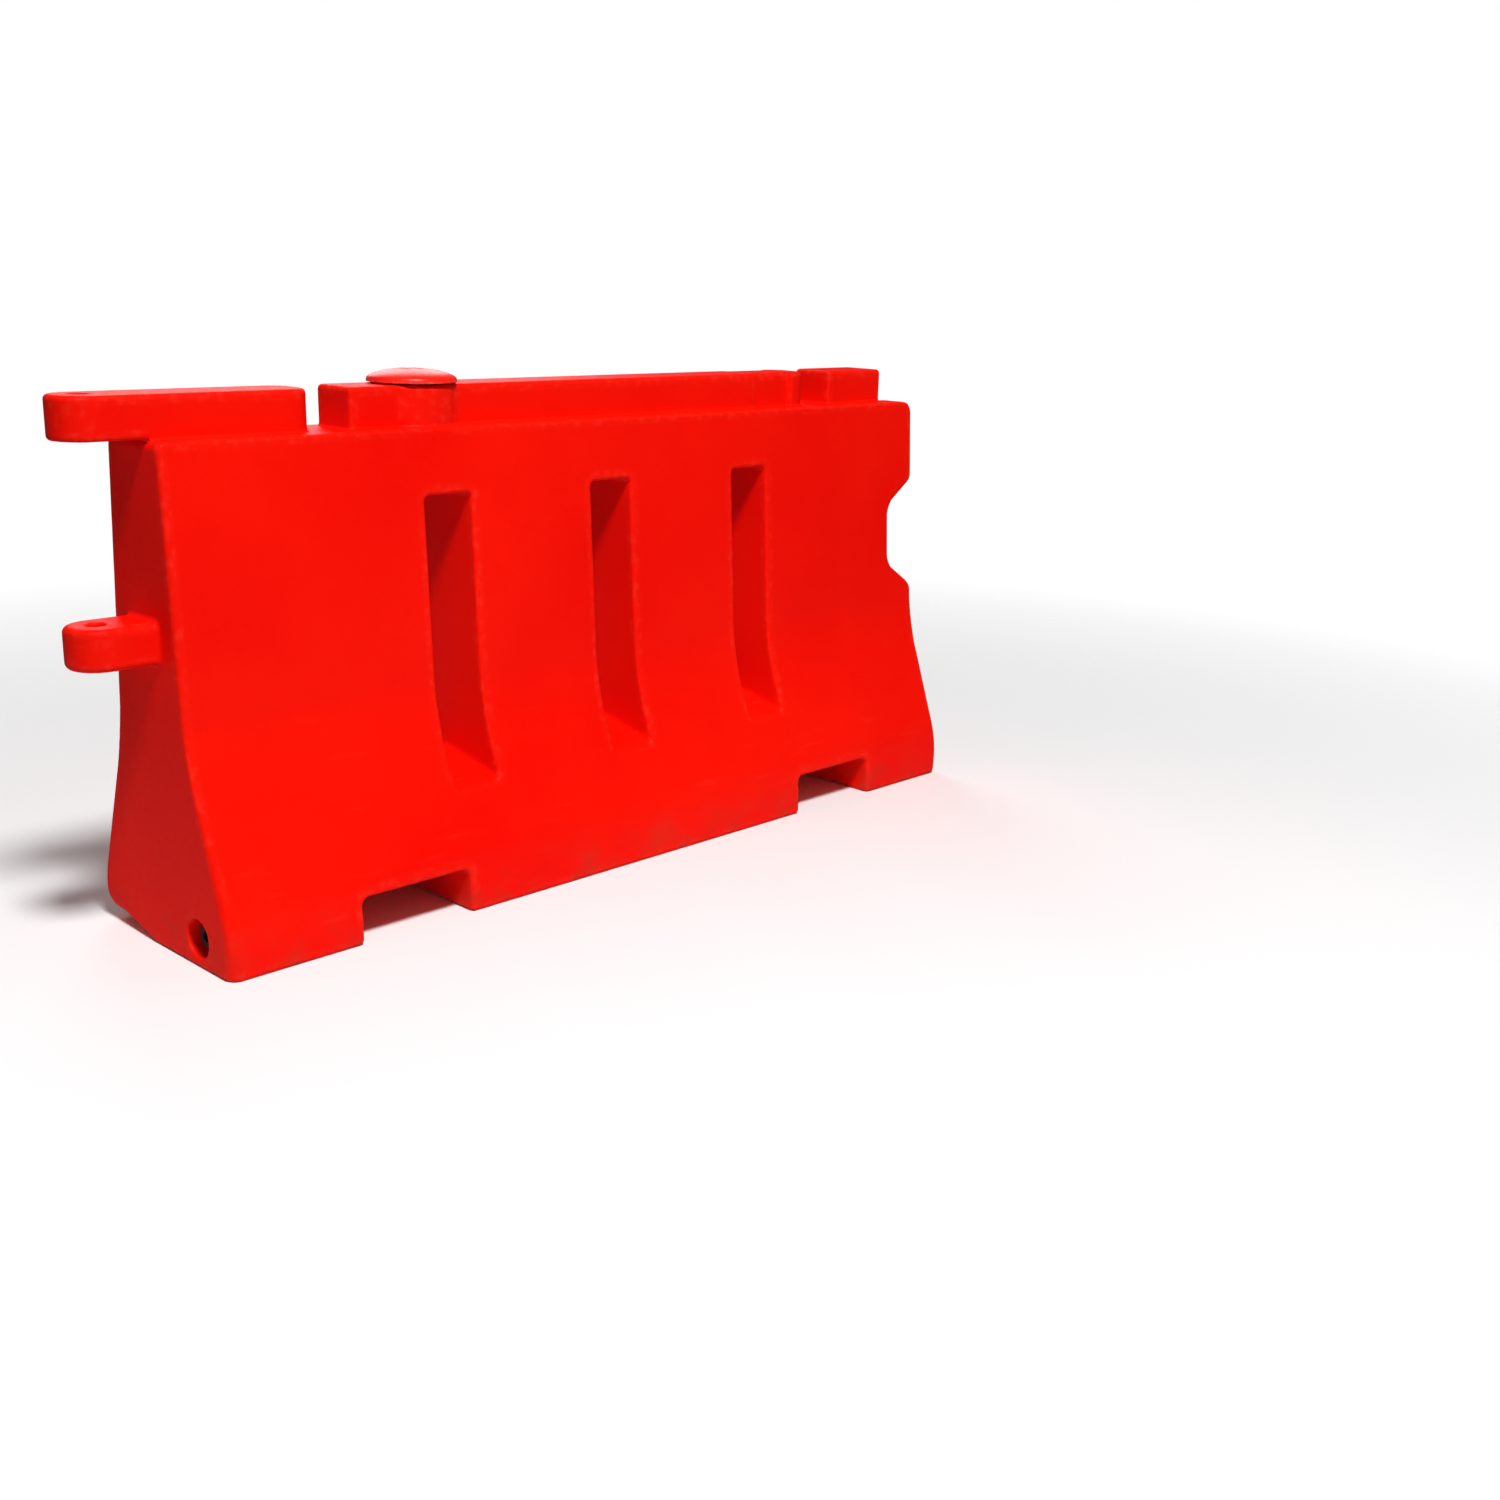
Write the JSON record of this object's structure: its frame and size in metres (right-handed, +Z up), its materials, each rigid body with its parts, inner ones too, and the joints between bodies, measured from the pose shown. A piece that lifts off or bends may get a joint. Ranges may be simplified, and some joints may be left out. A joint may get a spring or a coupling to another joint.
{
  "type": "water filled barrier",
  "caption": "Hollow moulded road barrier with a flared base, slots, fork pockets, a coupling arm and lug, a screwed fill cap and a drain plug",
  "frame": {"origin": "on the ground under the middle of the body's length and width", "axes": "+X along the barrier from the arm and lug end to the seat end, +Y across it towards the back, +Z up"},
  "size_m": [2.14, 0.46, 1.027],
  "materials": {
    "body_plastic": "satin rotationally moulded polyethylene with a faint orange peel",
    "cap_plastic": "satin injection moulded plastic",
    "neck_plastic": "dark threaded collar",
    "seal_rubber": "soft black sealing ring",
    "bush_brass": "dull threaded brass",
    "plug_plastic": "black moulded plastic"
  },
  "bodies": {
    "barrier": {"base": "body_plastic", "wall_section": "body_plastic", "seat": "body_plastic", "arm": "body_plastic", "lug": "body_plastic", "rail": "body_plastic", "end_block": "body_plastic", "fill_neck": "neck_plastic", "drain_bush": "bush_brass"},
    "cap_seal": {"fill_cap_seal": "seal_rubber"},
    "cap": {"fill_cap": "cap_plastic"},
    "plug_seal": {"drain_plug_seal": "seal_rubber"},
    "plug": {"drain_plug": "plug_plastic"}
  },
  "joints": [
    {"name": "cap_lift", "type": "slide", "parent": "barrier", "child": "cap_seal", "axis": [0, 0, 1], "range_m": [0, 0.016]},
    {"name": "cap_turn", "type": "hinge", "parent": "cap_seal", "child": "cap", "pos_m": [-0.426, 0, 1], "axis": [0, 0, 1], "range_deg": [0, 1440]},
    {"name": "plug_withdraw", "type": "slide", "parent": "barrier", "child": "plug_seal", "axis": [-1, 0, 0], "range_m": [0, 0.015]},
    {"name": "plug_turn", "type": "hinge", "parent": "plug_seal", "child": "plug", "pos_m": [-0.965, -0.119, 0.054], "axis": [-1, 0, 0], "range_deg": [0, 1800]}
  ],
  "couplings": [
    {"joint": "cap_lift", "follows": "cap_turn", "m_per_rad": 0.00063662},
    {"joint": "plug_withdraw", "follows": "plug_turn", "m_per_rad": 0.00047746}
  ]
}
